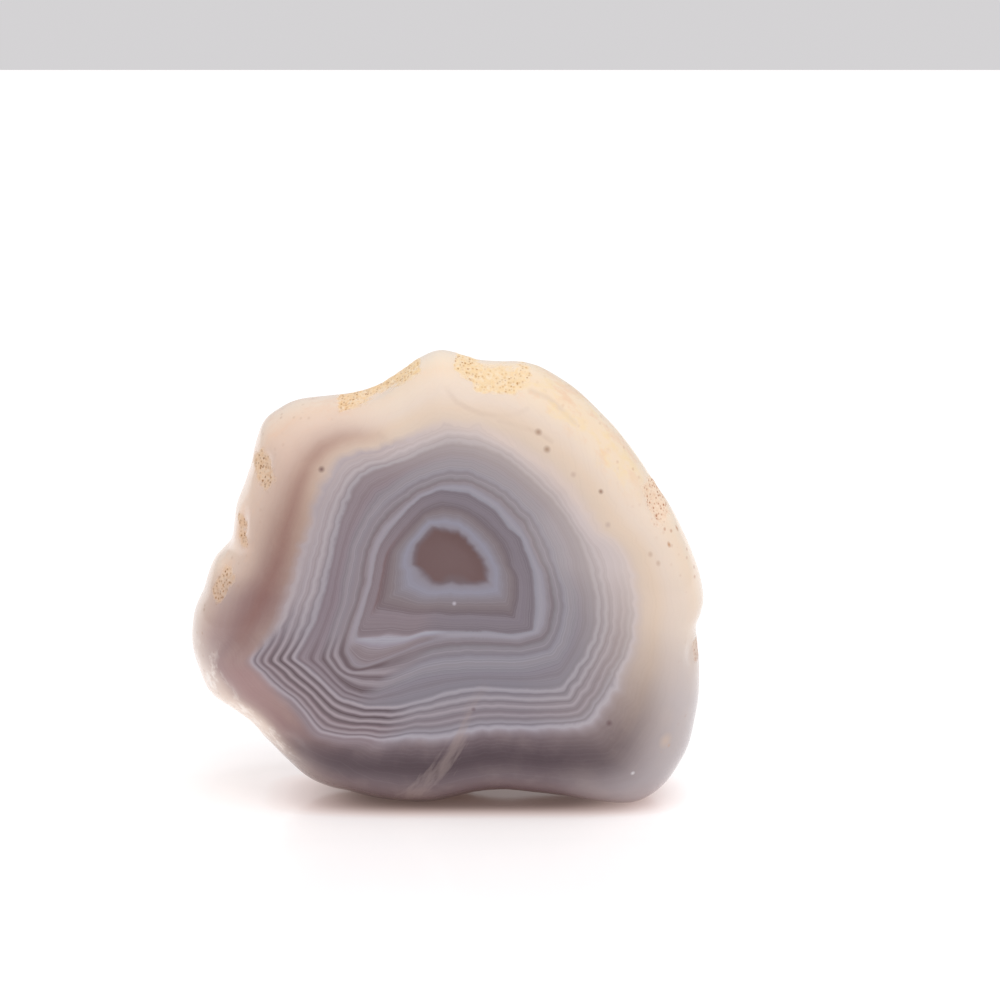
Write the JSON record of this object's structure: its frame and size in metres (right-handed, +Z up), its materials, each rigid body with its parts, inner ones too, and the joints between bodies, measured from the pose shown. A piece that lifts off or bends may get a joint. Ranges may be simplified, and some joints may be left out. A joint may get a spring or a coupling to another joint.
{
  "type": "banded agate",
  "caption": "Tumbled banded agate, a rounded plate of stone with nested grey and cream bands, standing on its lower edge.",
  "frame": {"origin": "on the ground, under the middle of the stone's box", "axes": "+X along the stone's longest way, to the right of the banded face; +Z up; the banded face looks along -Y"},
  "size_m": [0.0446, 0.02, 0.039],
  "materials": {
    "agate": "polished banded chalcedony"
  },
  "bodies": {
    "root": {"agate": "agate"}
  },
  "joints": []
}
